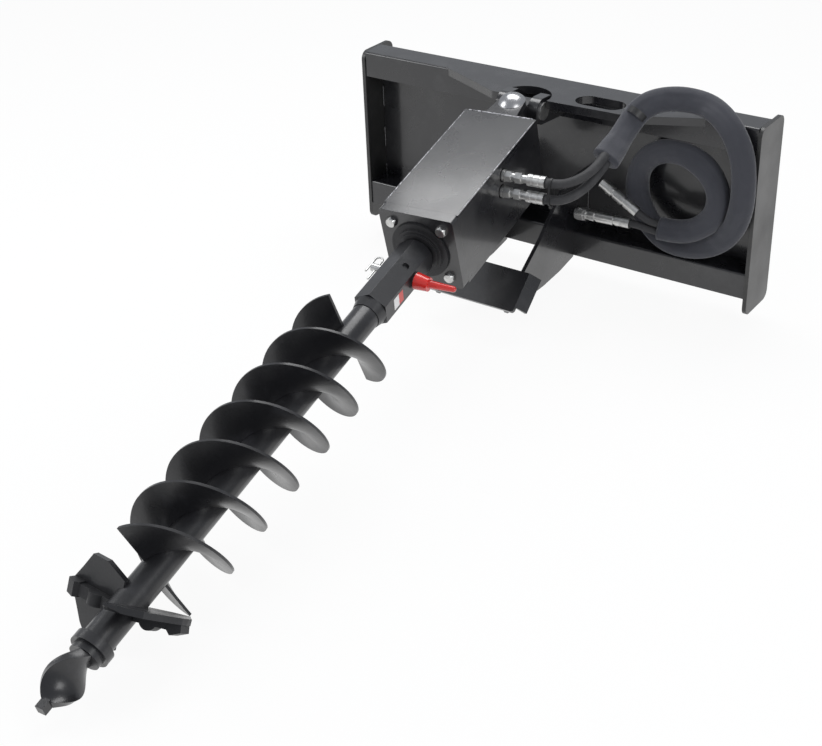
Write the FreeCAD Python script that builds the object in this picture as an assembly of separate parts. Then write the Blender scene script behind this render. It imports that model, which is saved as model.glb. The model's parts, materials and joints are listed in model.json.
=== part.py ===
import FreeCAD, Part
import math
import os

# Earth auger attachment for a compact loader: a quick-attach frame with a transport cradle, a two-axis
# knuckle, a hydraulic planetary drive in a box housing, and a double-flight auger held by a hitch pin.
#
# Part frame, in millimetres: X to the right seen from in front, Y backwards, Z up. The origin is on the
# rear face of the main plate, on the frame's centre line.
# The drive is drawn in its own frame: X to the right, Y up, Z forwards along the auger's axis, with the
# origin at the middle of the housing's rear face. place() then sets it on the knuckle.

V = FreeCAD.Vector
AXIS_X = V(1, 0, 0)
AXIS_Y = V(0, 1, 0)
AXIS_Z = V(0, 0, 1)
ORIGIN = V(0, 0, 0)

# ---- quick-attach frame ----
FRAME_WIDTH = 1143.0          # over the two side plates, 45 in
FRAME_TOP = 220.0
SIDE_BOTTOM = -265.0
SIDE_FRONT = -84.0
SIDE_REAR = 45.0
SIDE_THICK = 10.0
SIDE_CORNER = 22.0
PLATE_THICK = 8.0
PLATE_TOP = 213.0
PLATE_BOTTOM = -224.0
RAIL_FRONT = -81.0
RAIL_THICK = 10.0
RAIL_LEG = 67.0
RAIL_BEND = 6.0
LOWER_RAIL_TOP = -152.0
LIP_REACH = 32.0
LIP_THICK = 10.0
LEDGE_REACH = 44.0
LEDGE_DROP = 36.0
LEDGE_THICK = 12.0
LOCK_SLOT_X = 370.0           # each lock-pin slot's distance from the centre line
LOCK_SLOT_LONG = 76.0
LOCK_SLOT_WIDE = 22.0

# ---- pivot plate ----
PIVOT_PLATE_THICK = 20.0
PIVOT_PLATE_CORNER = 14.0
NOTCH_RADIUS = 66.0
NOTCH_Y = -154.0
HAND_HOLE_X = 168.0
HAND_HOLE_Y = -110.0
HAND_HOLE_LONG = 130.0
HAND_HOLE_WIDE = 64.0

# ---- knuckle ----
HINGE_X = -18.0               # centre plane of the hinge
HINGE_Y = -165.0
HINGE_Z = 193.0
DROOP = 13.07                 # degrees that the axis points down at rest
YAW = 4.39                    # degrees that the axis points to the right at rest
SWING_PIN_RADIUS = 16.0
PIN_CAP = 4.0                 # thickness of the swing pin's head and nut
POST_RADIUS = 17.0
RUNNING_FIT = 0.05            # radial clearance of a pin that turns
SIDE_GAP = 0.3                # clearance between faces that slide past each other
EAR_INNER = 32.0
EAR_THICK = 27.0
EAR_NOSE = 33.0
POST_BACK = 60.0              # from the post's axis forward to the housing's rear face
HINGE_BACK = 102.0            # from the hinge axis forward to the housing's rear face
HINGE_UP = 52.0               # the hinge axis over the auger's axis
KNUCKLE_RADIUS = 31.7
LUG_THICK = 16.0
LUG_NOSE = 34.0
LUG_ROOT = 42.0               # half width of a lug at the housing
POST_HEAD_RADIUS = 34.0
POST_HEAD_HEIGHT = 19.0

# ---- transport cradle ----
ARM_SPREAD = 106.0            # each arm's outer face from the hinge's centre plane
ARM_THICK = 10.0
ARM_TOP = -1.0
REST_DROOP = 42.0             # droop at which the housing lies on the cradle
CRADLE_GAP = 0.5
CRADLE_START = 361.0          # along the housing, from the hinge axis
CRADLE_LENGTH = 107.0
CRADLE_THICK = 10.0
CRADLE_HALF = 126.0
FLANGE_REACH = 36.0
FLANGE_ANGLE = 50.0

# ---- drive ----
HOUSING_WIDTH = 192.0
HOUSING_HEIGHT = 188.0
HOUSING_LENGTH = 397.0
WALL = 10.0
FLANGE_THICK = 27.0
FLANGE_CORNER = 9.0
BOLT_SQUARE = 129.0
BOLT_HEAD = 24.0
BOLT_HEAD_THICK = 10.0
SEAL_STEPS = ((72.0, 6.0), (58.0, 5.0), (50.0, 4.0))
MOTOR_RADIUS = 62.0
GEARBOX_ROOM = 4.0            # between the gearbox and the housing's top and bottom plates
GEARBOX_RADIUS = HOUSING_HEIGHT / 2 - WALL - GEARBOX_ROOM
GEARBOX_LENGTH = 150.0
MANIFOLD_LENGTH = 82.0
MANIFOLD_SETBACK = 15.0       # from the gearbox to the motor's port block
MANIFOLD_ROOM = 2.0           # between the port block and the housing's top plate
SHAFT_FLATS = 50.8            # 2 in hexagonal output shaft
SHAFT_REACH = 150.0
PORT_PLACES = (               # along and above the auger's axis
    (HOUSING_LENGTH - 212.0, 60.0),
    (HOUSING_LENGTH - 197.0, 25.0),
)

# ---- auger, its lengths along the axis counted from the collar's top ----
COLLAR_GAP = 2.0              # between the seal housing and the collar
COLLAR_TOP = HOUSING_LENGTH + FLANGE_THICK + sum(step[1] for step in SEAL_STEPS) + COLLAR_GAP
AUGER_RADIUS = 114.3          # 9 in auger
TUBE_RADIUS = 31.75
TUBE_WALL = 6.0
TUBE_END = COLLAR_TOP + 1119.0
FLIGHT_PITCH = 228.6
FLIGHT_STARTS = 2
FLIGHT_THICK = 6.0
FLIGHT_PHASE = COLLAR_TOP + 354.0     # where the first flight's edge crosses the +X side
FLIGHT_TOP = COLLAR_TOP + 304.0
FLIGHT_END = COLLAR_TOP + 999.0
WING_AT = COLLAR_TOP + 1095.0         # where the wings' plane meets the axis
WING_TILT = 36.8              # a wing's slope, in degrees
WING_CONE = 7.0               # how far a wing's outer end lies back, in degrees
WING_RADIUS = 134.0
WING_THICK = 12.0
PILOT_HOLDER_END = COLLAR_TOP + 1209.0
PILOT_END = COLLAR_TOP + 1329.0
COLLAR_END = COLLAR_TOP + 209.0
COLLAR_FLATS = 78.0
HITCH_AT = COLLAR_TOP + 83.0
HITCH_ANGLE = -6.0
HITCH_RADIUS = 9.5
PIN_LONG = 70.0               # from the auger's axis to the pin's far end
CLIP_SEAT = 59.0              # from the auger's axis to the clip's leg
CLIP_WIRE = 2.4
CLIP_BEND = 9.0
CLIP_BACK = 26.0
HANDLE_START = 44.0           # from the auger's axis to the handle's hub

# ---- hoses ----
HOSE_RADIUS = 11.0
TAIL_RADIUS = 9.5
SLEEVE_RADIUS = 23.0
FERRULE_RADIUS = 14.0


# ---- general helpers ----
def block(x0, x1, y0, y1, z0, z1):
    return Part.makeBox(x1 - x0, y1 - y0, z1 - z0, V(x0, y0, z0))


def outline(points):
    return Part.Face(Part.makePolygon([V(*p) for p in points] + [V(*points[0])]))


def slab_x(points, x0, x1):
    """A slab between x0 and x1 whose outline is given as (y, z) points."""
    return outline([(x0, y, z) for y, z in points]).extrude(V(x1 - x0, 0, 0))


def slab_y(points, y0, y1):
    """A slab between y0 and y1 whose outline is given as (x, z) points."""
    return outline([(x, y0, z) for x, z in points]).extrude(V(0, y1 - y0, 0))


def slab_z(points, z0, z1):
    """A slab between z0 and z1 whose outline is given as (x, y) points."""
    return outline([(x, y, z0) for x, y in points]).extrude(V(0, 0, z1 - z0))


def disc(radius, start, axis, length):
    return Part.makeCylinder(radius, length, start, axis)


def hexagon(flats, z0, z1, turn=0.0):
    """A hexagonal bar along Z; its first flat faces the direction given by turn, in degrees."""
    corner = flats / math.sqrt(3.0)
    turns = [math.radians(turn + 30.0 + 60.0 * k) for k in range(6)]
    return slab_z([(corner * math.cos(a), corner * math.sin(a)) for a in turns], z0, z1)


def edges_along(shape, axis, wanted=None):
    """The straight edges parallel to an axis, or those of them that wanted(middle) accepts."""
    found = []
    for edge in shape.Edges:
        if not isinstance(edge.Curve, Part.Line):
            continue
        way = edge.Vertexes[1].Point.sub(edge.Vertexes[0].Point).normalize()
        if abs(abs(way.dot(axis)) - 1.0) < 1e-6 and (wanted is None or wanted(edge.CenterOfMass)):
            found.append(edge)
    return found


def rounded(shape, axis, radius, wanted=None):
    return shape.makeFillet(radius, edges_along(shape, axis, wanted))


def polar(radius, degrees, z=0.0):
    angle = math.radians(degrees)
    return V(radius * math.cos(angle), radius * math.sin(angle), z)


# ---- setting the drive on its knuckle ----
HINGE = V(HINGE_X, HINGE_Y, HINGE_Z)


def place(yaw):
    """The move from the drive's own frame to the part frame, with the drive turned by yaw at its post."""
    stand = FreeCAD.Placement(ORIGIN, FreeCAD.Rotation(AXIS_X, 90.0))
    to_post = FreeCAD.Placement(V(0, -POST_BACK, 0), FreeCAD.Rotation())
    turn = FreeCAD.Placement(V(0, POST_BACK, 0), FreeCAD.Rotation(AXIS_Z, yaw))
    to_hinge = FreeCAD.Placement(V(0, -HINGE_BACK, -HINGE_UP), FreeCAD.Rotation())
    droop = FreeCAD.Placement(HINGE, FreeCAD.Rotation(AXIS_X, DROOP))
    return droop.multiply(to_hinge).multiply(turn).multiply(to_post).multiply(stand)


ON_DRIVE = place(YAW)
ON_KNUCKLE = place(0.0)


def moved(shape, placement):
    result = shape.copy()
    result.Placement = placement.multiply(shape.Placement)
    return result


# ---- quick-attach frame ----
def side_plate(side):
    outer = side * FRAME_WIDTH / 2
    inner = outer - side * SIDE_THICK
    plate = block(min(inner, outer), max(inner, outer), SIDE_FRONT, SIDE_REAR, SIDE_BOTTOM, FRAME_TOP)
    return rounded(plate, AXIS_X, SIDE_CORNER)


INNER_HALF = FRAME_WIDTH / 2 - SIDE_THICK


def main_plate():
    return block(-INNER_HALF, INNER_HALF, -PLATE_THICK, 0, PLATE_BOTTOM, PLATE_TOP)


def rail_profile(z_flange, z_far):
    """An angle rail: a flange back to the main plate at z_flange and a front leg that ends at z_far."""
    inward = math.copysign(RAIL_THICK, z_far - z_flange)
    return [
        (-PLATE_THICK, z_flange),
        (RAIL_FRONT, z_flange),
        (RAIL_FRONT, z_far),
        (RAIL_FRONT + RAIL_THICK, z_far),
        (RAIL_FRONT + RAIL_THICK, z_flange + inward),
        (-PLATE_THICK, z_flange + inward),
    ]


def rail(z_flange, z_far):
    bar = slab_x(rail_profile(z_flange, z_far), -INNER_HALF, INNER_HALF)
    return rounded(bar, AXIS_X, RAIL_BEND, lambda m: m.y < RAIL_FRONT + 0.1 and abs(m.z - z_flange) < 0.1)


def pivot_plate_blank(z0, z1):
    points = [
        (-325, -PLATE_THICK),
        (-313, -46),
        (-295, -80),
        (-196, -125),
        (-104, -168),
        (262, -155),
        (430, RAIL_FRONT),
        (455, -PLATE_THICK),
    ]
    blank = slab_z(points, z0, z1)
    return rounded(blank, AXIS_Z, PIVOT_PLATE_CORNER, lambda m: -170 < m.y < -84)


def pivot_plate():
    z0 = FRAME_TOP - PIVOT_PLATE_THICK
    plate = pivot_plate_blank(z0, FRAME_TOP)
    notch = disc(NOTCH_RADIUS, V(HINGE_X, NOTCH_Y, z0), AXIS_Z, PIVOT_PLATE_THICK)
    mouth = block(HINGE_X - NOTCH_RADIUS, HINGE_X + NOTCH_RADIUS, NOTCH_Y - 40, NOTCH_Y, z0, FRAME_TOP)
    end = HAND_HOLE_WIDE / 2
    half = HAND_HOLE_LONG / 2 - end
    hole = block(HAND_HOLE_X - half, HAND_HOLE_X + half, HAND_HOLE_Y - end, HAND_HOLE_Y + end, z0, FRAME_TOP)
    for x in (HAND_HOLE_X - half, HAND_HOLE_X + half):
        hole = hole.fuse(disc(end, V(x, HAND_HOLE_Y, z0), AXIS_Z, PIVOT_PLATE_THICK))
    return plate.cut(notch.fuse(mouth)).cut(hole)


def top_rail():
    whole = rail(FRAME_TOP, FRAME_TOP - RAIL_LEG)
    return whole.cut(pivot_plate_blank(FRAME_TOP - PIVOT_PLATE_THICK, FRAME_TOP + 1))


def coupler_lip():
    """The hook along the top of the plate's back that drops over the loader's quick coupler."""
    drop = LIP_REACH
    points = [
        (0, PLATE_TOP),
        (LIP_REACH, PLATE_TOP - drop),
        (LIP_REACH - LIP_THICK * 0.7, PLATE_TOP - drop - LIP_THICK * 0.7),
        (0, PLATE_TOP - LIP_THICK * 1.414),
    ]
    return slab_x(points, -INNER_HALF, INNER_HALF)


def coupler_ledge():
    """The sloping ledge under the coupler, with a slot for each lock pin."""
    run = math.hypot(LEDGE_REACH, LEDGE_DROP)
    start = PLATE_BOTTOM + LEDGE_DROP
    fall = math.degrees(math.atan2(LEDGE_DROP, LEDGE_REACH))
    ledge = block(-INNER_HALF, INNER_HALF, 0, run, -LEDGE_THICK, 0)
    for x in (-LOCK_SLOT_X, LOCK_SLOT_X):
        middle = run * 0.56
        y0 = middle - LOCK_SLOT_WIDE / 2
        slot = block(x - LOCK_SLOT_LONG / 2, x + LOCK_SLOT_LONG / 2, y0, y0 + LOCK_SLOT_WIDE, -20, 5)
        ledge = ledge.cut(rounded(slot, AXIS_Z, 6.0))
    ledge.rotate(ORIGIN, AXIS_X, -fall)
    ledge.translate(V(0, 0, start))
    return ledge.cut(block(-600, 600, -60, 0, start - 60, start + 60))


# ---- pivot ears and swing pin ----
def pivot_ear(side):
    """One ear: a round nose about the swing pin, welded under the pivot plate and to the top rail."""
    inner = HINGE_X + side * EAR_INNER
    outer = inner + side * EAR_THICK
    x0, x1 = min(inner, outer), max(inner, outer)
    under = FRAME_TOP - PIVOT_PLATE_THICK
    nose = disc(EAR_NOSE, V(x0, HINGE_Y, HINGE_Z), AXIS_X, EAR_THICK)
    body = slab_x(
        [
            (HINGE_Y, HINGE_Z + EAR_NOSE),
            (HINGE_Y + 34, HINGE_Z + EAR_NOSE - 2),
            (RAIL_FRONT - 12, under),
            (RAIL_FRONT, under),
            (RAIL_FRONT, FRAME_TOP - RAIL_LEG),
            (HINGE_Y, HINGE_Z - EAR_NOSE),
        ],
        x0,
        x1,
    )
    bore = disc(SWING_PIN_RADIUS, V(x0, HINGE_Y, HINGE_Z), AXIS_X, EAR_THICK)
    return nose.fuse(body).cut(bore).cut(pivot_plate()).removeSplitter()


def swing_pin():
    """The swing pin, with a flat head and a flat nut that pass inside the pivot plate's notch."""
    end = EAR_INNER + EAR_THICK + PIN_CAP
    pin = disc(SWING_PIN_RADIUS, V(HINGE_X - end, HINGE_Y, HINGE_Z), AXIS_X, 2 * end)
    for x in (-end, end - PIN_CAP):
        pin = pin.fuse(disc(SWING_PIN_RADIUS + 6, V(HINGE_X + x, HINGE_Y, HINGE_Z), AXIS_X, PIN_CAP))
    return pin.removeSplitter()


# ---- transport cradle ----
def rest_point(along, down):
    """(y, z) of a point given along and below the housing's axis lines when it lies on the cradle."""
    angle = math.radians(REST_DROOP)
    y = HINGE_Y - along * math.cos(angle) + down * math.sin(angle)
    z = HINGE_Z - along * math.sin(angle) - down * math.cos(angle)
    return y, z


CRADLE_DEPTH = HOUSING_HEIGHT / 2 + HINGE_UP + CRADLE_GAP


def cradle_arm(side):
    outer = HINGE_X + side * ARM_SPREAD
    inner = outer - side * ARM_THICK
    x0, x1 = min(inner, outer), max(inner, outer)
    under = CRADLE_DEPTH + CRADLE_THICK
    points = [
        (-PLATE_THICK, ARM_TOP),
        (-127, ARM_TOP),
        rest_point(CRADLE_START - 100, under + 12),
        rest_point(CRADLE_START, under),
        rest_point(CRADLE_START + CRADLE_LENGTH, under),
        (-404, -243),
        (-232, -243),
        (-150, -236),
        (RAIL_FRONT, LOWER_RAIL_TOP - RAIL_LEG - 4),
        (RAIL_FRONT, LOWER_RAIL_TOP),
        (-PLATE_THICK, LOWER_RAIL_TOP),
    ]
    arm = slab_x(points, x0, x1)
    return rounded(arm, AXIS_X, 14.0, lambda m: -270 < m.y < -100 and m.z > -140)


def cradle_plate():
    """The plate that the housing lies on, its two ends bent down so that they guide the housing."""
    angle = math.radians(FLANGE_ANGLE)
    reach = V(math.cos(angle), 0, -math.sin(angle)).multiply(FLANGE_REACH)
    flat = block(-CRADLE_HALF, CRADLE_HALF, 0, CRADLE_LENGTH, 0, CRADLE_THICK)
    plate = flat
    for side in (-1, 1):
        x = side * CRADLE_HALF
        corner = [
            (x, 0, 0),
            (x, 0, CRADLE_THICK),
            (x + side * reach.x, 0, CRADLE_THICK + reach.z),
            (x + side * reach.x - side * CRADLE_THICK * math.sin(angle), 0,
             CRADLE_THICK + reach.z - CRADLE_THICK * math.cos(angle)),
        ]
        wing = outline(corner).extrude(V(0, CRADLE_LENGTH - 14, 0))
        wing.translate(V(0, 14, 0))
        plate = plate.fuse(wing)
    plate = plate.removeSplitter()
    plate = rounded(plate, AXIS_Z, 8.0, lambda m: abs(m.x) >= CRADLE_HALF - 0.1 and m.y < 1)
    plate.translate(V(HINGE_X, 0, -CRADLE_THICK))
    y, z = rest_point(CRADLE_START + CRADLE_LENGTH, CRADLE_DEPTH)
    plate.rotate(ORIGIN, AXIS_X, REST_DROOP)
    plate.translate(V(0, y, z))
    return plate


# ---- knuckle, in the drive's own frame ----
def lug_face(side):
    """Height of a lug's inner face: the lugs are flush with the housing's top and bottom."""
    return side * (HOUSING_HEIGHT / 2 - LUG_THICK)


def knuckle_block():
    """The link between the two hinges: a barrel on the upright post, with a boss on the swing pin."""
    low = lug_face(-1) + SIDE_GAP
    high = lug_face(1) - SIDE_GAP
    half = EAR_INNER - SIDE_GAP
    barrel = disc(KNUCKLE_RADIUS, V(0, low, -POST_BACK), AXIS_Y, high - low)
    boss = disc(high - HINGE_UP, V(-half, HINGE_UP, -HINGE_BACK), AXIS_X, 2 * half)
    web = slab_x(
        [
            (2 * HINGE_UP - high, -HINGE_BACK),
            (HINGE_UP + 20, -HINGE_BACK),
            (HINGE_UP + 20, -POST_BACK),
            (-30, -POST_BACK),
        ],
        -18,
        18,
    )
    saddle = block(-half, half, HINGE_UP - 22, high, -HINGE_BACK, -POST_BACK)
    body = barrel.fuse(boss).fuse(web).fuse(saddle)
    post_bore = disc(POST_RADIUS + RUNNING_FIT, V(0, low, -POST_BACK), AXIS_Y, high - low)
    pin_bore = disc(SWING_PIN_RADIUS + RUNNING_FIT, V(-half, HINGE_UP, -HINGE_BACK), AXIS_X, 2 * half)
    return body.cut(post_bore).cut(pin_bore).removeSplitter()


def lug(side):
    """A lug welded to the housing's back, with a round end about the post."""
    y0 = min(lug_face(side), side * HOUSING_HEIGHT / 2)
    points = [(-LUG_ROOT, 0), (-LUG_NOSE, -POST_BACK), (LUG_NOSE, -POST_BACK), (LUG_ROOT, 0)]
    body = outline([(x, y0, z) for x, z in points]).extrude(V(0, LUG_THICK, 0))
    body = body.fuse(disc(LUG_NOSE, V(0, y0, -POST_BACK), AXIS_Y, LUG_THICK))
    return body.cut(disc(POST_RADIUS, V(0, y0, -POST_BACK), AXIS_Y, LUG_THICK)).removeSplitter()


def knuckle_post():
    """The upright post, with a domed head welded over the top lug and a collar under the lower one."""
    top = HOUSING_HEIGHT / 2
    shank = disc(POST_RADIUS, V(0, -top - 12, -POST_BACK), AXIS_Y, 2 * top + 12)
    rise = POST_HEAD_HEIGHT
    dome_radius = (POST_HEAD_RADIUS ** 2 + rise ** 2) / (2 * rise)
    dome = Part.makeSphere(dome_radius, V(0, top + rise - dome_radius, -POST_BACK))
    head = dome.common(disc(POST_HEAD_RADIUS, V(0, top, -POST_BACK), AXIS_Y, rise + 1))
    collar = disc(POST_RADIUS + 8, V(0, -top - 12, -POST_BACK), AXIS_Y, 12)
    return shank.fuse(head).fuse(collar).removeSplitter()


# ---- drive, in its own frame ----
HALF_WIDE = HOUSING_WIDTH / 2
HALF_HIGH = HOUSING_HEIGHT / 2


def housing_cover(side):
    """The top or bottom plate of the housing."""
    y0, y1 = sorted((side * HALF_HIGH, side * (HALF_HIGH - WALL)))
    return block(-HALF_WIDE, HALF_WIDE, y0, y1, 0, HOUSING_LENGTH)


def port_bosses(radius, x0, x1):
    bosses = [disc(radius, V(x0, y, z), AXIS_X, x1 - x0) for z, y in PORT_PLACES]
    return bosses[0].fuse(bosses[1])


def housing_wall(side):
    """A side plate; the right one has a window for the two hose ports."""
    x0, x1 = sorted((side * HALF_WIDE, side * (HALF_WIDE - WALL)))
    wall = block(x0, x1, -HALF_HIGH + WALL, HALF_HIGH - WALL, 0, HOUSING_LENGTH)
    if side > 0:
        wall = wall.cut(port_bosses(FERRULE_RADIUS + 2.5, x0, x1))
    return wall


def housing_back():
    return block(-HALF_WIDE + WALL, HALF_WIDE - WALL, -HALF_HIGH + WALL, HALF_HIGH - WALL, 0, WALL)


def front_flange():
    end = HOUSING_LENGTH + FLANGE_THICK
    flange = block(-HALF_WIDE, HALF_WIDE, -HALF_HIGH, HALF_HIGH, HOUSING_LENGTH, end)
    flange = rounded(flange, AXIS_Z, FLANGE_CORNER)
    bore = disc(SEAL_STEPS[0][0] - 14, V(0, 0, HOUSING_LENGTH), AXIS_Z, FLANGE_THICK)
    return flange.cut(bore)


def gearbox():
    """The planetary gearbox: a ribbed case in the housing and stepped seal rings at the output."""
    case = disc(GEARBOX_RADIUS, V(0, 0, HOUSING_LENGTH - GEARBOX_LENGTH), AXIS_Z, GEARBOX_LENGTH)
    for k in range(3):
        z = HOUSING_LENGTH - GEARBOX_LENGTH + 30 + 40 * k
        groove = disc(GEARBOX_RADIUS, V(0, 0, z), AXIS_Z, 6)
        case = case.cut(groove.cut(disc(GEARBOX_RADIUS - 4, V(0, 0, z), AXIS_Z, 6)))
    nose = disc(SEAL_STEPS[0][0] - 14, V(0, 0, HOUSING_LENGTH), AXIS_Z, FLANGE_THICK)
    body = case.fuse(nose)
    z = HOUSING_LENGTH + FLANGE_THICK
    for radius, height in SEAL_STEPS:
        body = body.fuse(disc(radius, V(0, 0, z), AXIS_Z, height))
        z += height
    corner = SHAFT_FLATS / math.sqrt(3.0)
    start = HOUSING_LENGTH - 30
    bore = disc(corner + SIDE_GAP, V(0, 0, start), AXIS_Z, z - start)
    return body.cut(bore).removeSplitter()


def motor():
    """The hydraulic motor behind the gearbox, with its two ports on the right."""
    start = WALL
    end = HOUSING_LENGTH - GEARBOX_LENGTH
    body = disc(MOTOR_RADIUS, V(0, 0, start), AXIS_Z, end - start)
    block_end = HALF_WIDE - WALL - 0.5
    block_far = end - MANIFOLD_SETBACK
    block_top = HOUSING_HEIGHT / 2 - WALL - MANIFOLD_ROOM
    manifold = block(0, block_end, -2, block_top, block_far - MANIFOLD_LENGTH, block_far)
    return body.fuse(manifold).removeSplitter()


def flange_bolts():
    z = HOUSING_LENGTH + FLANGE_THICK
    bolts = []
    for sx in (-1, 1):
        for sy in (-1, 1):
            head = hexagon(BOLT_HEAD, z, z + BOLT_HEAD_THICK)
            dome = Part.makeCone(BOLT_HEAD * 0.62, BOLT_HEAD * 0.45, BOLT_HEAD_THICK, V(0, 0, z), AXIS_Z)
            head = head.common(dome)
            head.translate(V(sx * BOLT_SQUARE / 2, sy * BOLT_SQUARE / 2, 0))
            bolts.append(head)
    return Part.makeCompound(bolts)


PORT_NUT_START = HALF_WIDE + 8
PORT_NUT_LENGTH = 16.0
FITTING_LENGTH = 66.0
FERRULE_LENGTH = 44.0


def port_fitting(z, y):
    """The adaptor that screws into the motor's port, with its hexagon and swivel nut."""
    x0 = HALF_WIDE - WALL - 0.5
    stem = disc(9.5, V(x0, y, z), AXIS_X, HALF_WIDE + FITTING_LENGTH - x0)
    collar = disc(FERRULE_RADIUS, V(HALF_WIDE + 1, y, z), AXIS_X, 6)
    nuts = []
    for start in (PORT_NUT_START, PORT_NUT_START + 26):
        nut = hexagon(24.0, 0, PORT_NUT_LENGTH)
        nut.rotate(ORIGIN, AXIS_Y, 90)
        nut.translate(V(start, y, z))
        nuts.append(nut)
    return stem.fuse(collar).fuse(nuts[0]).fuse(nuts[1]).removeSplitter()


def port_ferrule(z, y):
    """The crimped ferrule at a hose's end, with two crimp rings."""
    x0 = HALF_WIDE + FITTING_LENGTH
    body = disc(FERRULE_RADIUS, V(x0, y, z), AXIS_X, FERRULE_LENGTH)
    for k in (12, 28):
        ring = disc(FERRULE_RADIUS, V(x0 + k, y, z), AXIS_X, 4)
        body = body.cut(ring.cut(disc(FERRULE_RADIUS - 1.2, V(x0 + k, y, z), AXIS_X, 4)))
    return body


# ---- auger, in the drive's own frame ----
def output_shaft():
    start = HOUSING_LENGTH - 30 + SIDE_GAP
    end = COLLAR_TOP + SHAFT_REACH
    shaft = hexagon(SHAFT_FLATS, start, end, HITCH_ANGLE)
    return shaft.cut(hitch_bore(HITCH_RADIUS + RUNNING_FIT))


def hitch_bore(radius):
    way = polar(1.0, HITCH_ANGLE)
    return disc(radius, V(0, 0, HITCH_AT).sub(way * 80), way, 160)


def hex_collar():
    """The auger's hexagonal collar: bored for the shaft, with a round recess on the facet by the pin."""
    body = hexagon(COLLAR_FLATS, COLLAR_TOP + 1, COLLAR_END, HITCH_ANGLE)
    chamfer = Part.makeCone(COLLAR_FLATS * 0.5, COLLAR_FLATS * 0.5 + 240, 240, V(0, 0, COLLAR_TOP + 1), AXIS_Z)
    body = body.common(chamfer)
    bore = hexagon(SHAFT_FLATS + 0.4, COLLAR_TOP + 1, COLLAR_TOP + SHAFT_REACH + 4, HITCH_ANGLE)
    facet = polar(1.0, HITCH_ANGLE + 60.0)
    recess = disc(8.0, V(0, 0, HITCH_AT).add(facet * (COLLAR_FLATS / 2 - 6)), facet, 12)
    return body.cut(bore).cut(recess).cut(hitch_bore(HITCH_RADIUS + RUNNING_FIT))


def weld_ring():
    """The weld between collar and tube, a coned bead."""
    cone = Part.makeCone(COLLAR_FLATS / 2, TUBE_RADIUS + 1.5, 22, V(0, 0, COLLAR_END), AXIS_Z)
    return cone.cut(disc(TUBE_RADIUS + 0.1, V(0, 0, COLLAR_END), AXIS_Z, 22))


def auger_tube():
    length = TUBE_END - COLLAR_END
    outer = disc(TUBE_RADIUS, V(0, 0, COLLAR_END), AXIS_Z, length)
    return outer.cut(disc(TUBE_RADIUS - TUBE_WALL, V(0, 0, COLLAR_END), AXIS_Z, length))


def flight(start):
    """One helical flight, swept from a thin radial strip."""
    length = FLIGHT_END - FLIGHT_TOP
    inner = TUBE_RADIUS + 0.1
    half = FLIGHT_THICK / 2
    helix = Part.makeHelix(FLIGHT_PITCH, length, AUGER_RADIUS)
    strip = Part.makePolygon([V(r, 0, z) for r, z in (
        (inner, -half), (AUGER_RADIUS, -half), (AUGER_RADIUS, half), (inner, half), (inner, -half))])
    body = Part.Wire(helix.Edges).makePipeShell([strip], True, True)
    turn = 360.0 * ((FLIGHT_TOP - FLIGHT_PHASE) / FLIGHT_PITCH + start / FLIGHT_STARTS)
    body.rotate(ORIGIN, AXIS_Z, turn)
    body.translate(V(0, 0, FLIGHT_TOP))
    return body.cut(boring_wing(start))


def on_wing(shape, start):
    """Sets a piece drawn on a wing (X outwards, Y towards the cutting edge, Z out of its front face)."""
    shape.rotate(ORIGIN, AXIS_X, WING_TILT)
    shape.rotate(ORIGIN, AXIS_Y, WING_CONE)
    shape.rotate(ORIGIN, AXIS_Z, 360.0 * start / FLIGHT_STARTS)
    shape.translate(V(0, 0, WING_AT))
    return shape


def boring_wing(start):
    """A thick blade that carries on from a flight's end and slopes forwards to its cutting edge."""
    points = [(10, -52), (60, -72), (98, -72), (117, -40), (138, -8), (132, 13), (115, 41), (101, 65),
              (90, 77), (40, 86), (10, 86)]
    blade = on_wing(slab_z(points, -WING_THICK, 0), start)
    blade = blade.common(disc(WING_RADIUS, V(0, 0, FLIGHT_END - 60), AXIS_Z, 200))
    return blade.cut(disc(TUBE_RADIUS + 0.1, V(0, 0, FLIGHT_END - 60), AXIS_Z, 240))


def tooth_holder(start):
    """The bar across a wing's front face that carries its tooth, with a round boss."""
    bar = block(20, 104, -12, 12, 0, 14)
    boss = disc(20, V(62, -12, 4), AXIS_Y, 24)
    boss = boss.common(block(30, 90, -12, 12, 0, 60))
    body = on_wing(bar.fuse(boss).removeSplitter(), start)
    return body.cut(disc(TUBE_RADIUS + 0.1, V(0, 0, FLIGHT_END - 60), AXIS_Z, 200))


def tooth_tip(start):
    """The flared tooth at the bar's outer end."""
    side = [(104, 0), (132, 0), (134, 14), (112, 22), (104, 14)]
    return on_wing(slab_y(side, -15, 15), start)


def pilot_holder():
    plug = disc(TUBE_RADIUS - TUBE_WALL - 0.1, V(0, 0, TUBE_END - 40), AXIS_Z, 41)
    holder = disc(TUBE_RADIUS, V(0, 0, TUBE_END), AXIS_Z, PILOT_HOLDER_END - TUBE_END)
    collar = disc(40.0, V(0, 0, PILOT_HOLDER_END - 34), AXIS_Z, 20)
    socket = block(-13, 13, -13, 13, PILOT_HOLDER_END - 40, PILOT_HOLDER_END)
    return holder.fuse(plug).fuse(collar).cut(socket).removeSplitter()


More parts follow.
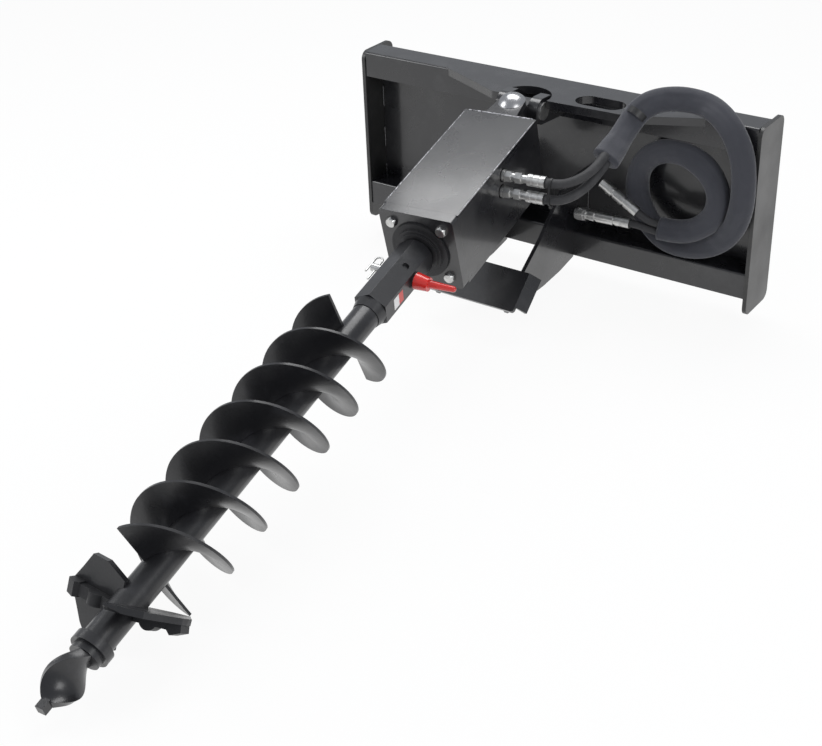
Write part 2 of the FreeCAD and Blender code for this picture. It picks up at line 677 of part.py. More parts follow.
def pilot_bit():
    """The fishtail pilot: a flat blade twisted a third of a turn, narrowing to a square tip."""
    sections = []
    steps = ((0.0, 30, 12), (0.25, 38, 11), (0.55, 40, 9), (0.8, 30, 8), (1.0, 11, 8))
    length = PILOT_END - PILOT_HOLDER_END - 18
    for share, half, thick in steps:
        loop = Part.makePolygon([V(half, thick, 0), V(-half, thick, 0), V(-half, -thick, 0),
                                 V(half, -thick, 0), V(half, thick, 0)])
        loop.rotate(ORIGIN, AXIS_Z, 60 + 110 * share)
        loop.translate(V(0, 0, PILOT_HOLDER_END + length * share))
        sections.append(loop)
    blade = Part.makeLoft(sections, True, False)
    shank = block(-12.8, 12.8, -12.8, 12.8, PILOT_HOLDER_END - 40, PILOT_HOLDER_END + 4)
    tip = block(-9, 9, -9, 9, PILOT_END - 22, PILOT_END)
    return blade.fuse(shank).fuse(tip).removeSplitter()


# ---- hitch pin and clip, in the drive's own frame ----
def hitch_pin():
    way = polar(1.0, HITCH_ANGLE)
    pin = disc(HITCH_RADIUS, V(0, 0, HITCH_AT).sub(way * PIN_LONG), way, PIN_LONG + HANDLE_START)
    hole = disc(CLIP_WIRE + RUNNING_FIT, V(0, 0, HITCH_AT - 30).sub(way * CLIP_SEAT), AXIS_Z, 60)
    return pin.cut(hole)


def hitch_handle():
    """The dipped handle: a hub on the pin's end and an arm that a hand turns it by."""
    way = polar(1.0, HITCH_ANGLE)
    hub_start = V(0, 0, HITCH_AT).add(way * HANDLE_START)
    hub = Part.makeCone(20, 16, 32, hub_start, way)
    arm_way = way * 0.95 + V(0, 0, -0.18) + polar(-0.06, HITCH_ANGLE + 90)
    arm_way.normalize()
    arm_start = hub_start.add(way * 16)
    arm = Part.makeCone(10.0, 7.0, 70, arm_start, arm_way)
    end = Part.makeSphere(7.0, arm_start.add(arm_way * 70))
    return hub.fuse(arm).fuse(end).removeSplitter()


def retaining_clip():
    """The spring clip through the pin's end: a long leg, a round bend and a short outer leg, of round wire."""
    way = polar(1.0, HITCH_ANGLE)
    seat = V(0, 0, HITCH_AT).sub(way * CLIP_SEAT)
    long_end = seat.add(V(0, 0, 40))
    long_start = seat.sub(V(0, 0, CLIP_BACK))
    far_start = long_start.sub(way * (2 * CLIP_BEND))
    crown = long_start.sub(way * CLIP_BEND).sub(V(0, 0, CLIP_BEND))
    path = Part.Wire([
        Part.makeLine(long_end, long_start),
        Part.Arc(long_start, crown, far_start).toShape(),
        Part.makeLine(far_start, far_start.add(V(0, 0, 44))),
    ])
    ring = Part.Wire(Part.makeCircle(CLIP_WIRE, long_end, AXIS_Z))
    return path.makePipeShell([ring], True, False)


# ---- hoses ----
def tube_path(points):
    """Straight runs joined by tangent arcs, each as large as its two runs allow."""
    corners = [V(*p) for p in points]
    edges = []
    radii = []
    last = corners[0]
    for before, corner, after in zip(corners, corners[1:], corners[2:]):
        back = before.sub(corner)
        ahead = after.sub(corner)
        reach = 0.45 * min(back.Length, ahead.Length)
        back.normalize()
        ahead.normalize()
        half_turn = (math.pi - back.getAngle(ahead)) / 2
        radius = reach / math.tan(half_turn)
        start = corner.add(back * reach)
        end = corner.add(ahead * reach)
        inward = back.add(ahead).normalize()
        middle = corner.add(inward * (radius / math.cos(half_turn) - radius))
        edges.append(Part.LineSegment(last, start).toShape())
        edges.append(Part.Arc(start, middle, end).toShape())
        radii.append(radius)
        last = end
    edges.append(Part.LineSegment(last, corners[-1]).toShape())
    return Part.Wire(edges), radii


def hose(name, points, radius):
    path, radii = tube_path(points)
    way = V(*points[1]).sub(V(*points[0]))
    ring = Part.Wire(Part.makeCircle(radius, V(*points[0]), way))
    tube = path.makePipeShell([ring], True, False)
    wanted = math.pi * radius ** 2 * path.Length
    print(name, "length", round(path.Length), "radii", [round(r) for r in radii],
          "volume ratio", round(tube.Volume / wanted, 4))
    return tube


def drive_point(x, y, z):
    return tuple(ON_DRIVE.multVec(V(x, y, z)))


SLEEVE = [
    (290, -306, 170),
    (288, -262, 183),
    (286, -221, 198),
    (290, -187, 222),
    (302, -160, 248),
    (328, -127, 262),
    (366, -95, 262),
    (414, -78, 256),
    (466, -96, 248),
    (511, -110, 216),
    (538, -108, 162),
    (548, -108, 98),
    (548, -107, 30),
    (528, -100, -40),
    (474, -90, -94),
    (405, -80, -119),
    (340, -70, -118),
    (287, -60, -86),
    (252, -55, -30),
    (250, -60, 35),
    (281, -72, 92),
    (335, -84, 125),
    (400, -92, 127),
    (455, -96, 100),
    (488, -100, 48),
    (482, -104, -10),
    (440, -107, -52),
    (388, -108, -71),
    (340, -108, -71),
]
MOUTH = V(*SLEEVE[0])
MOUTH_WAY = V(*SLEEVE[1]).sub(MOUTH).normalize()
MOUTH_SIDE = AXIS_X.cross(MOUTH_WAY).normalize()
SLEEVE_TAIL = V(*SLEEVE[-1])
PAIR_GAP = 0.3                # between the two hoses where they enter the sleeve
HOSE_EXIT = HALF_WIDE + FITTING_LENGTH + FERRULE_LENGTH


def mouth_point(side, back):
    """A point of a hose at, or straight in front of, the sleeve's mouth."""
    point = MOUTH.add(MOUTH_SIDE * (side * (HOSE_RADIUS + PAIR_GAP / 2)))
    return tuple(point.sub(MOUTH_WAY * back))


def hose_route(port, side, between):
    """A drive hose: straight out of its ferrule, round through the points given, into the sleeve."""
    z, y = PORT_PLACES[port]
    first = [drive_point(HOSE_EXIT + step, y, z) for step in (0, 32)]
    return first + between + [mouth_point(side, 28), mouth_point(side, 0)]


UPPER_HOSE = hose_route(0, 1, [(262, -413, 146), (279, -391, 154), (288, -364, 163)])
LOWER_HOSE = hose_route(1, -1, [(265, -416, 112), (280, -391, 124), (288, -361, 137)])


UPPER_TAIL = [(340, -108, -60.7), (320, -108, -60.7), (298.3, -110, -52.2), (280, -110, -42)]
LOWER_TAIL = [(340, -108, -81.3), (315, -108, -81.3), (289, -110, -75.1), (262, -110, -76)]
NIPPLE_TIP = (178, -110, 15)
SOCKET_TIP = (109, -110, -81)


def hose_tie():
    """The cable tie round both hoses just behind their ferrules."""
    (z0, y0), (z1, y1) = PORT_PLACES
    inner = HOSE_RADIUS + 0.2
    tie = None
    for radius, sign in ((inner + 1.8, 1), (inner, -1)):
        ends = [disc(radius, V(HOSE_EXIT + 12, y, z), AXIS_X, 5) for z, y in PORT_PLACES]
        way = V(0, y1 - y0, z1 - z0).normalize()
        across = way.cross(AXIS_X) * radius
        corners = [V(HOSE_EXIT + 12, y0, z0).add(across), V(HOSE_EXIT + 12, y1, z1).add(across),
                   V(HOSE_EXIT + 12, y1, z1).sub(across), V(HOSE_EXIT + 12, y0, z0).sub(across)]
        band = outline([tuple(c) for c in corners]).extrude(V(5, 0, 0)).fuse(ends[0]).fuse(ends[1])
        tie = band if sign > 0 else tie.cut(band)
    head = block(HOSE_EXIT + 11, HOSE_EXIT + 18, -4, 4, -4, 4)
    head.translate(V(0, y1 - inner - 5.5, z1 + 2))
    return tie.fuse(head).removeSplitter()


def hose_strap():
    """The strap that ties the sleeve up beside the pivot plate."""
    start, end = V(*SLEEVE[3]), V(*SLEEVE[4])
    way = end.sub(start)
    middle = start.add(end).multiply(0.5)
    way.normalize()
    begin = middle.sub(way * 8)
    band = disc(SLEEVE_RADIUS + 2.4, begin, way, 16)
    return band.cut(disc(SLEEVE_RADIUS + 0.5, begin, way, 16))


def turned(tip, root, steps):
    """A turned body along the line from tip to root; each step is (start, end, radius) in millimetres."""
    start = V(*tip)
    way = V(*root).sub(start).normalize()
    pieces = [disc(radius, start.add(way * a), way, b - a) for a, b, radius in steps]
    body = pieces[0]
    for piece in pieces[1:]:
        body = body.fuse(piece)
    return body.removeSplitter()


def coupler_steps(length, nose):
    """Nose, hexagon neck, body, groove and crimped ferrule of a hose's coupler."""
    return (
        (0, nose, 12.5),
        (nose, nose + 14, 14.0),
        (nose + 14, nose + 20, 11.0),
        (nose + 20, length - 44, 13.5),
        (length - 44, length - 38, 11.0),
        (length - 38, length - 24, 13.0),
        (length - 24, length - 21, 12.0),
        (length - 21, length, 13.0),
    )


def coupler(tip, root, nose):
    length = V(*root).sub(V(*tip)).Length
    return turned(tip, root, coupler_steps(length, nose))


SOCKET_NOSE = 42.0
COLLAR_TRAVEL = 8.0


def lock_collar():
    """The socket's collar, drawn back along the body to let the other half go."""
    tip, root = SOCKET_TIP, LOWER_TAIL[-1]
    long = SOCKET_NOSE - COLLAR_TRAVEL - 1
    ring = turned(tip, root, ((3, long, 17.0), (9, long - 6, 18.0)))
    return ring.cut(turned(tip, root, ((0, SOCKET_NOSE, 12.5 + RUNNING_FIT),)))


def export(name, shape):
    shape.exportStep("parts/" + name + ".step")


def main():
    os.makedirs("parts", exist_ok=True)
    nodes = {
        "side_plate_left": side_plate(-1),
        "side_plate_right": side_plate(1),
        "main_plate": main_plate(),
        "top_rail": top_rail(),
        "bottom_rail": rail(LOWER_RAIL_TOP, LOWER_RAIL_TOP - RAIL_LEG),
        "pivot_plate": pivot_plate(),
        "coupler_lip": coupler_lip(),
        "coupler_ledge": coupler_ledge(),
        "pivot_ear_left": pivot_ear(-1),
        "pivot_ear_right": pivot_ear(1),
        "swing_pin": swing_pin(),
        "cradle_arm_left": cradle_arm(-1),
        "cradle_arm_right": cradle_arm(1),
        "cradle_plate": cradle_plate(),
    }
    knuckle = {"knuckle_block": knuckle_block()}
    drive = {
        "housing_top": housing_cover(1),
        "housing_bottom": housing_cover(-1),
        "housing_left": housing_wall(-1),
        "housing_right": housing_wall(1),
        "housing_back": housing_back(),
        "lug_top": lug(1),
        "lug_bottom": lug(-1),
        "knuckle_post": knuckle_post(),
        "front_flange": front_flange(),
        "gearbox": gearbox(),
        "motor": motor(),
        "flange_bolts": flange_bolts(),
        "output_shaft": output_shaft(),
        "hex_collar": hex_collar(),
        "weld_ring": weld_ring(),
        "auger_tube": auger_tube(),
        "pilot_holder": pilot_holder(),
        "pilot_bit": pilot_bit(),
        "hitch_pin": hitch_pin(),
        "hitch_handle": hitch_handle(),
        "retaining_clip": retaining_clip(),
    }
    for k, name in enumerate(("upper", "lower")):
        z, y = PORT_PLACES[k]
        drive["port_fitting_" + name] = port_fitting(z, y)
        drive["port_ferrule_" + name] = port_ferrule(z, y)
    for k, name in enumerate(("a", "b")):
        drive["flight_" + name] = flight(k)
        drive["boring_wing_" + name] = boring_wing(k)
        drive["tooth_holder_" + name] = tooth_holder(k)
        drive["tooth_tip_" + name] = tooth_tip(k)
    for name, shape in knuckle.items():
        nodes[name] = moved(shape, ON_KNUCKLE)
    for name, shape in drive.items():
        nodes[name] = moved(shape, ON_DRIVE)
    for name, points in (("upper", UPPER_HOSE), ("lower", LOWER_HOSE)):
        nodes["hose_" + name] = hose("hose_" + name, points, HOSE_RADIUS)
    nodes["hose_sleeve"] = hose("hose_sleeve", SLEEVE, SLEEVE_RADIUS)
    nodes["hose_tail_upper"] = hose("hose_tail_upper", UPPER_TAIL, TAIL_RADIUS)
    nodes["hose_tail_lower"] = hose("hose_tail_lower", LOWER_TAIL, TAIL_RADIUS)
    nodes["hose_strap"] = hose_strap()
    nodes["coupler_nipple"] = coupler(NIPPLE_TIP, UPPER_TAIL[-1], 24.0)
    nodes["coupler_socket"] = coupler(SOCKET_TIP, LOWER_TAIL[-1], SOCKET_NOSE)
    nodes["lock_collar"] = lock_collar()
    nodes["hose_tie"] = moved(hose_tie(), ON_DRIVE)
    for name, shape in nodes.items():
        export(name, shape)


main()
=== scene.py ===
"""Looks for the earth auger drive: camera, cords, finishes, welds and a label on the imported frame."""

import json
import math

import bpy
from mathutils import Matrix, Vector, noise


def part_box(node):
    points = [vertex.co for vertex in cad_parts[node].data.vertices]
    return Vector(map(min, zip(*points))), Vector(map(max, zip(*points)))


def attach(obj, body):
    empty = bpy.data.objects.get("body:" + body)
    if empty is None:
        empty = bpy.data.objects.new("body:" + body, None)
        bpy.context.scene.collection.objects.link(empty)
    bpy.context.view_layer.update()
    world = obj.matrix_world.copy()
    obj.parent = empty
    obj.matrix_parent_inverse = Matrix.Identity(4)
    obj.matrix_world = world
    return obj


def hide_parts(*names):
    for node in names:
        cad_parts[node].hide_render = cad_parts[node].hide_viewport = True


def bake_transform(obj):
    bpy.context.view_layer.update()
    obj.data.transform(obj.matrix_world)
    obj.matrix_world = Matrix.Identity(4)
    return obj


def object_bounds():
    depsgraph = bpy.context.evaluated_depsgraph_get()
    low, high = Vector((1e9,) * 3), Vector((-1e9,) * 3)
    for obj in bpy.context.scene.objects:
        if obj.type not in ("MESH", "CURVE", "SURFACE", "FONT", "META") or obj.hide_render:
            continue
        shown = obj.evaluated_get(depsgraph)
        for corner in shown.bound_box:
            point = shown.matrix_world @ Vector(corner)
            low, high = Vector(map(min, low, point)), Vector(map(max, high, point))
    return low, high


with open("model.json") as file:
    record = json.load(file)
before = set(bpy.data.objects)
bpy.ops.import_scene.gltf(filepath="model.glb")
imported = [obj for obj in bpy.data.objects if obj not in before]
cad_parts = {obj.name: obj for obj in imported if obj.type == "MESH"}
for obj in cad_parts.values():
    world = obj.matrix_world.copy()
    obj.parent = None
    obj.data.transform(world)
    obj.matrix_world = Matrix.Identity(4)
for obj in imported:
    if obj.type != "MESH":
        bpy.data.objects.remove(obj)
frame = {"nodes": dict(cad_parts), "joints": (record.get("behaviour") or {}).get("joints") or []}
CAD_BOX = [list(corner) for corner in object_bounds()]
NODES = frame["nodes"]

# ---- the drive's own axes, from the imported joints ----
JOINTS = {joint["name"]: joint for joint in frame["joints"]}
AXIS_START = Vector(JOINTS["auger_spin"]["pos_m"])
FORWARD = Vector(JOINTS["auger_spin"]["axis"]).normalized()
UP = Vector(JOINTS["side_swing"]["axis"]).normalized()
RIGHT = UP.cross(FORWARD).normalized()
MM = 1000.0                          # millimetres in a metre
HOUSING_TOP = 93.4                   # the housing's top edge above the auger's axis, in millimetres
HOUSING_EDGE = 93.5                  # the top edges' distance to either side
COLLAR_FACE = 39.25                  # the label's distance from the auger's axis
LABEL_HALF = 15.0
LABEL_ANGLE = -6.0                   # the collar's labelled facet, about the auger's axis
SEAM_START, SEAM_END = 8, 388        # the housing's top seams, silver beads that are a painted highlight on its top edges, along the auger's axis
REAR_HALF = 88                       # half of the weld across the housing's rear; its silver is a painted highlight on that edge
REAR_TOP = 93.0


def on_drive(x, y, z):
    """A point given in millimetres to the right of, above and along the auger's axis, in the row frame."""
    return AXIS_START + (RIGHT * x + UP * y + FORWARD * z) / MM


def radial(degrees):
    angle = math.radians(degrees)
    return RIGHT * math.cos(angle) + UP * math.sin(angle)


# ---- materials ----
def new_material(name):
    material = bpy.data.materials.new(name)
    material.use_nodes = True
    return material, material.node_tree.nodes, material.node_tree.links


def add(nodes, kind, **values):
    node = nodes.new(kind)
    for key, value in values.items():
        setattr(node, key, value)
    return node


def finish_material(
    name,
    color,
    rough,
    metallic=0.0,
    coat=0.0,
    coat_rough=0.1,
    grain=0.0,
    grain_scale=400.0,
    wear=None,
    wear_from=0.55,
    wear_to=0.75,
    wear_scale=14.0,
    rough_spread=0.0,
    rough_scale=9.0,
    bevel=0.0,
    specular=0.5,
):
    """A finish with grain in its surface, patches of wear or dust, and an uneven gloss."""
    material, nodes, links = new_material(name)
    shader = nodes["Principled BSDF"]
    shader.inputs["Base Color"].default_value = (*color, 1.0)
    shader.inputs["Roughness"].default_value = rough
    shader.inputs["Metallic"].default_value = metallic
    shader.inputs["Coat Weight"].default_value = coat
    shader.inputs["Coat Roughness"].default_value = coat_rough
    shader.inputs["Specular IOR Level"].default_value = specular
    place = add(nodes, "ShaderNodeTexCoord")
    if wear is not None:
        cloud = add(nodes, "ShaderNodeTexNoise")
        cloud.inputs["Scale"].default_value = wear_scale
        cloud.inputs["Detail"].default_value = 8.0
        cloud.inputs["Roughness"].default_value = 0.65
        links.new(place.outputs["Object"], cloud.inputs["Vector"])
        ramp = add(nodes, "ShaderNodeValToRGB")
        ramp.color_ramp.elements[0].position = wear_from
        ramp.color_ramp.elements[0].color = (*color, 1.0)
        ramp.color_ramp.elements[1].position = wear_to
        ramp.color_ramp.elements[1].color = (*wear, 1.0)
        links.new(cloud.outputs["Fac"], ramp.inputs["Fac"])
        links.new(ramp.outputs["Color"], shader.inputs["Base Color"])
    if rough_spread:
        haze = add(nodes, "ShaderNodeTexNoise")
        haze.inputs["Scale"].default_value = rough_scale
        haze.inputs["Detail"].default_value = 5.0
        links.new(place.outputs["Object"], haze.inputs["Vector"])
        span = add(nodes, "ShaderNodeMapRange")
        span.inputs["From Min"].default_value = 0.3
        span.inputs["From Max"].default_value = 0.7
        span.inputs["To Min"].default_value = max(0.02, rough - rough_spread)
        span.inputs["To Max"].default_value = min(1.0, rough + rough_spread)
        links.new(haze.outputs["Fac"], span.inputs["Value"])
        links.new(span.outputs["Result"], shader.inputs["Roughness"])
    normal = None
    if bevel:
        soft = add(nodes, "ShaderNodeBevel", samples=4)
        soft.inputs["Radius"].default_value = bevel
        normal = soft.outputs["Normal"]
    if grain:
        speck = add(nodes, "ShaderNodeTexNoise")
        speck.inputs["Scale"].default_value = grain_scale
        speck.inputs["Detail"].default_value = 3.0
        links.new(place.outputs["Object"], speck.inputs["Vector"])
        bump = add(nodes, "ShaderNodeBump")
        bump.inputs["Strength"].default_value = grain
        bump.inputs["Distance"].default_value = 0.0006
        links.new(speck.outputs["Fac"], bump.inputs["Height"])
        if normal is not None:
            links.new(normal, bump.inputs["Normal"])
        normal = bump.outputs["Normal"]
    if normal is not None:
        links.new(normal, shader.inputs["Normal"])
    return material


PAINT = finish_material(
    "gloss_black_paint", (0.010, 0.010, 0.012), 0.30, coat=0.6, coat_rough=0.12, grain=0.12,
    grain_scale=220.0, wear=(0.030, 0.030, 0.032), wear_from=0.50, wear_to=0.80, rough_spread=0.10,
    bevel=0.0015,
)
PAINT_DULL = finish_material(
    "dull_black_paint", (0.013, 0.013, 0.014), 0.48, coat=0.1, coat_rough=0.3, grain=0.25, grain_scale=300.0,
    wear=(0.035, 0.035, 0.036), wear_from=0.48, wear_to=0.78, rough_spread=0.12, bevel=0.0015,
)
PAINT_SIDE = finish_material(
    "side_plate_paint", (0.016, 0.016, 0.016), 0.42, coat=0.25, coat_rough=0.3, grain=0.2, grain_scale=260.0,
    wear=(0.040, 0.040, 0.038), wear_from=0.45, wear_to=0.80, rough_spread=0.08, bevel=0.002,
)
AUGER_PAINT = finish_material(
    "auger_black", (0.012, 0.012, 0.014), 0.38, coat=0.3, coat_rough=0.2, grain=0.35, grain_scale=180.0,
    wear=(0.035, 0.035, 0.040), wear_from=0.52, wear_to=0.78, rough_spread=0.12, bevel=0.001,
)
IRON = finish_material(
    "dark_iron", (0.022, 0.022, 0.024), 0.50, metallic=0.3, grain=0.6, grain_scale=350.0, rough_spread=0.1,
    bevel=0.001,
)
ZINC = finish_material(
    "zinc_plate", (0.62, 0.62, 0.61), 0.32, metallic=1.0, grain=0.15, grain_scale=500.0,
    wear=(0.42, 0.42, 0.42), wear_from=0.45, wear_to=0.70, wear_scale=60.0, rough_spread=0.10, bevel=0.0006,
)
# silver for the housing's beads: a painted highlight on the housing's top and rear edges, shaped as welds
WELD_AND_EDGE_HIGHLIGHT = finish_material(
    "weld_metal_painted_highlight", (0.42, 0.42, 0.44), 0.34, metallic=0.8, grain=0.8, grain_scale=900.0,
    wear=(0.06, 0.06, 0.065), wear_from=0.42, wear_to=0.60, wear_scale=110.0, rough_spread=0.12,
)
WELD_BLACK = finish_material(
    "painted_weld", (0.020, 0.020, 0.022), 0.26, coat=0.6, grain=0.5, grain_scale=700.0,
    wear=(0.16, 0.16, 0.17), wear_from=0.58, wear_to=0.72, wear_scale=120.0,
)
HOSE = finish_material(
    "hose_rubber", (0.035, 0.035, 0.037), 0.62, grain=0.5, grain_scale=1400.0,
    wear=(0.055, 0.055, 0.057), wear_from=0.45, wear_to=0.75, wear_scale=40.0, specular=0.35,
)
TIE = finish_material("tie_plastic", (0.016, 0.016, 0.017), 0.45)
RED = finish_material(
    "red_dip", (0.62, 0.025, 0.020), 0.22, coat=0.5, coat_rough=0.08, grain=0.2, grain_scale=90.0,
    wear=(0.50, 0.020, 0.018), wear_from=0.45, wear_to=0.7, wear_scale=40.0,
)
STEEL = finish_material(
    "bare_steel", (0.45, 0.45, 0.46), 0.30, metallic=1.0, grain=0.2, grain_scale=600.0, rough_spread=0.1,
    bevel=0.0008,
)
LABEL_RED = finish_material("label_red", (0.60, 0.030, 0.022), 0.35, coat=0.3)
LABEL_WHITE = finish_material("label_white", (0.78, 0.78, 0.77), 0.38, coat=0.3)


def sleeve_material():
    """Woven nylon: a fine diagonal weave across the sleeve and a soft sheen."""
    material, nodes, links = new_material("sleeve_nylon")
    shader = nodes["Principled BSDF"]
    shader.inputs["Roughness"].default_value = 0.72
    shader.inputs["Sheen Weight"].default_value = 0.35
    shader.inputs["Sheen Roughness"].default_value = 0.4
    place = add(nodes, "ShaderNodeTexCoord")
    heights = []
    for turn in (0.0, math.pi / 2):
        turned = add(nodes, "ShaderNodeMapping")
        turned.inputs["Rotation"].default_value = (0.0, 0.0, turn + 0.6)
        links.new(place.outputs["UV"], turned.inputs["Vector"])
        wave = add(nodes, "ShaderNodeTexWave")
        wave.inputs["Scale"].default_value = 60.0
        wave.inputs["Distortion"].default_value = 0.6
        links.new(turned.outputs["Vector"], wave.inputs["Vector"])
        heights.append(wave.outputs["Fac"])
    weave = add(nodes, "ShaderNodeMath", operation="MAXIMUM")
    links.new(heights[0], weave.inputs[0])
    links.new(heights[1], weave.inputs[1])
    ramp = add(nodes, "ShaderNodeValToRGB")
    ramp.color_ramp.elements[0].color = (0.014, 0.015, 0.020, 1.0)
    ramp.color_ramp.elements[1].color = (0.045, 0.047, 0.060, 1.0)
    links.new(weave.outputs["Value"], ramp.inputs["Fac"])
    links.new(ramp.outputs["Color"], shader.inputs["Base Color"])
    bump = add(nodes, "ShaderNodeBump")
    bump.inputs["Strength"].default_value = 0.5
    bump.inputs["Distance"].default_value = 0.0005
    links.new(weave.outputs["Value"], bump.inputs["Height"])
    links.new(bump.outputs["Normal"], shader.inputs["Normal"])
    return material


SLEEVE_CLOTH = sleeve_material()


def paint(material, *names):
    for name in names:
        data = NODES[name].data
        data.materials.clear()
        data.materials.append(material)


paint(
    PAINT,
    "main_plate", "top_rail", "bottom_rail", "pivot_plate", "pivot_ear_left", "pivot_ear_right",
    "cradle_arm_left", "cradle_arm_right", "cradle_plate", "knuckle_block", "housing_top", "housing_bottom",
    "housing_left", "housing_right", "housing_back", "lug_top", "lug_bottom", "front_flange",
)
paint(PAINT_DULL, "coupler_lip", "coupler_ledge")
paint(PAINT_SIDE, "side_plate_left", "side_plate_right")
paint(
    AUGER_PAINT,
    "hex_collar", "weld_ring", "auger_tube", "flight_a", "flight_b", "boring_wing_a", "boring_wing_b",
    "pilot_holder", "pilot_bit",
)
paint(
    IRON,
    "gearbox", "motor", "tooth_holder_a", "tooth_holder_b", "tooth_tip_a", "tooth_tip_b", "output_shaft",
)
paint(
    ZINC,
    "swing_pin", "flange_bolts", "port_fitting_upper", "port_fitting_lower", "port_ferrule_upper",
    "port_ferrule_lower", "coupler_nipple", "coupler_socket", "lock_collar", "hitch_pin", "retaining_clip",
)
paint(STEEL, "knuckle_post")
paint(HOSE, "hose_upper", "hose_lower", "hose_tail_upper", "hose_tail_lower")
paint(TIE, "hose_tie", "hose_strap")
paint(RED, "hitch_handle")


# ---- mesh helpers ----
def make_object(name, vertices, faces, material, smooth=True, uvs=None):
    data = bpy.data.meshes.new(name)
    data.from_pydata([tuple(v) for v in vertices], [], faces)
    if uvs is not None:
        layer = data.uv_layers.new(name="along")
        for loop in data.loops:
            layer.data[loop.index].uv = uvs[loop.vertex_index]
    data.update()
    for polygon in data.polygons:
        polygon.use_smooth = smooth
    data.materials.append(material)
    made = bpy.data.objects.new(name, data)
    bpy.context.scene.collection.objects.link(made)
    return made


def spline_line(points, steps=10):
    """The smooth line that a NURBS spline follows, with the route's points as its control points."""
    data = bpy.data.curves.new("route", "CURVE")
    data.dimensions = "3D"
    spline = data.splines.new("NURBS")
    spline.points.add(len(points) - 1)
    for place, point in zip(spline.points, points):
        place.co = (*point, 1.0)
    spline.order_u = 3
    spline.use_endpoint_u = True
    spline.resolution_u = steps
    carrier = bpy.data.objects.new("route", data)
    bpy.context.scene.collection.objects.link(carrier)
    bpy.context.view_layer.update()
    mesh = bpy.data.meshes.new_from_object(carrier)
    line = [vertex.co.copy() for vertex in mesh.vertices]
    bpy.data.objects.remove(carrier)
    bpy.data.meshes.remove(mesh)
    bpy.data.curves.remove(data)
    return line


def frames_along(line, facing):
    """At each point: its place, the way along, the side way and the flat way, which keeps to facing."""
    frames = []
    for k, point in enumerate(line):
        before = line[max(0, k - 1)]
        after = line[min(len(line) - 1, k + 1)]
        way = (after - before).normalized()
        flat = (facing - way * facing.dot(way)).normalized()
        frames.append((point, way, flat.cross(way).normalized(), flat))
    return frames


def ring_faces(rows, around):
    """The faces of a closed tube made of rows of points, with a cap at each end."""
    faces = []
    for k in range(rows - 1):
        for m in range(around):
            n = (m + 1) % around
            faces.append((k * around + m, k * around + n, (k + 1) * around + n, (k + 1) * around + m))
    faces.append(tuple(reversed(range(around))))
    faces.append(tuple(range((rows - 1) * around, rows * around)))
    return faces


def sweep(name, line, facing, section, material, around=28):
    """A tube along a line; section(share, angle) gives its reach sideways and along the flat way."""
    lengths = [0.0]
    for a, b in zip(line, line[1:]):
        lengths.append(lengths[-1] + (b - a).length)
    vertices, uvs = [], []
    for k, (point, way, side, flat) in enumerate(frames_along(line, facing)):
        share = lengths[k] / lengths[-1]
        for m in range(around):
            angle = 2 * math.pi * m / around
            across, out = section(share, angle)
            vertices.append(point + side * across + flat * out)
            uvs.append((lengths[k] * 8.0, m / around))
    return make_object(name, vertices, ring_faces(len(line), around), material, uvs=uvs)


def weld_bead(name, points, body, radius, material=WELD_BLACK, ripple=5.0, step=1.6, around=10):
    """A rippled weld along a polyline; radius, step and ripple are in millimetres."""
    line = []
    for a, b in zip(points, points[1:]):
        count = max(2, int((b - a).length * MM / step))
        line += [a.lerp(b, k / count) for k in range(count)]
    line.append(points[-1])
    facing = (line[-1] - line[0]).orthogonal()
    vertices = []
    run = 0.0
    for k, point in enumerate(line):
        before, after = line[max(0, k - 1)], line[min(len(line) - 1, k + 1)]
        if k:
            run += (point - line[k - 1]).length * MM
        way = (after - before).normalized()
        flat = (facing - way * facing.dot(way)).normalized()
        side = flat.cross(way)
        wave = 0.80 + 0.20 * abs(math.sin(math.pi * run / ripple))
        wander = 1.0 + 0.25 * noise.noise(point * 90.0)
        end = min(1.0, 0.3 + min(k, len(line) - 1 - k) * 0.35)
        for m in range(around):
            angle = 2 * math.pi * m / around
            lump = 1.0 + 0.10 * noise.noise(point * 400.0 + Vector((m * 3.1, 0, 0)))
            reach = radius / MM * wave * wander * end * lump
            vertices.append(point + (flat * math.cos(angle) + side * math.sin(angle)) * reach)
    bead = make_object(name, vertices, ring_faces(len(line), around), material)
    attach(bead, body)


# ---- camera ----
CAMERA_PLACE = (1.7387, -3.0658, 1.4568)
CAMERA_TURN = (-0.633, 0.537, 0.040)     # yaw, downward pitch and roll, in radians
CAMERA_LENS = 63.27


def make_camera():
    yaw, pitch, roll = CAMERA_TURN
    ahead = Vector((math.sin(yaw) * math.cos(pitch), math.cos(yaw) * math.cos(pitch), -math.sin(pitch)))
    right = Vector((math.cos(yaw), -math.sin(yaw), 0.0))
    down = ahead.cross(right)
    view_x = right * math.cos(roll) + down * math.sin(roll)
    view_down = down * math.cos(roll) - right * math.sin(roll)
    data = bpy.data.cameras.new("camera")
    data.sensor_width = 36.0
    data.lens = CAMERA_LENS
    data.clip_start, data.clip_end = 0.1, 60.0
    camera = bpy.data.objects.new("camera", data)
    bpy.context.scene.collection.objects.link(camera)
    turn = Matrix((view_x, -view_down, -ahead)).transposed()
    camera.matrix_world = Matrix.Translation(Vector(CAMERA_PLACE)) @ turn.to_4x4()
    bpy.context.scene.camera = camera


make_camera()

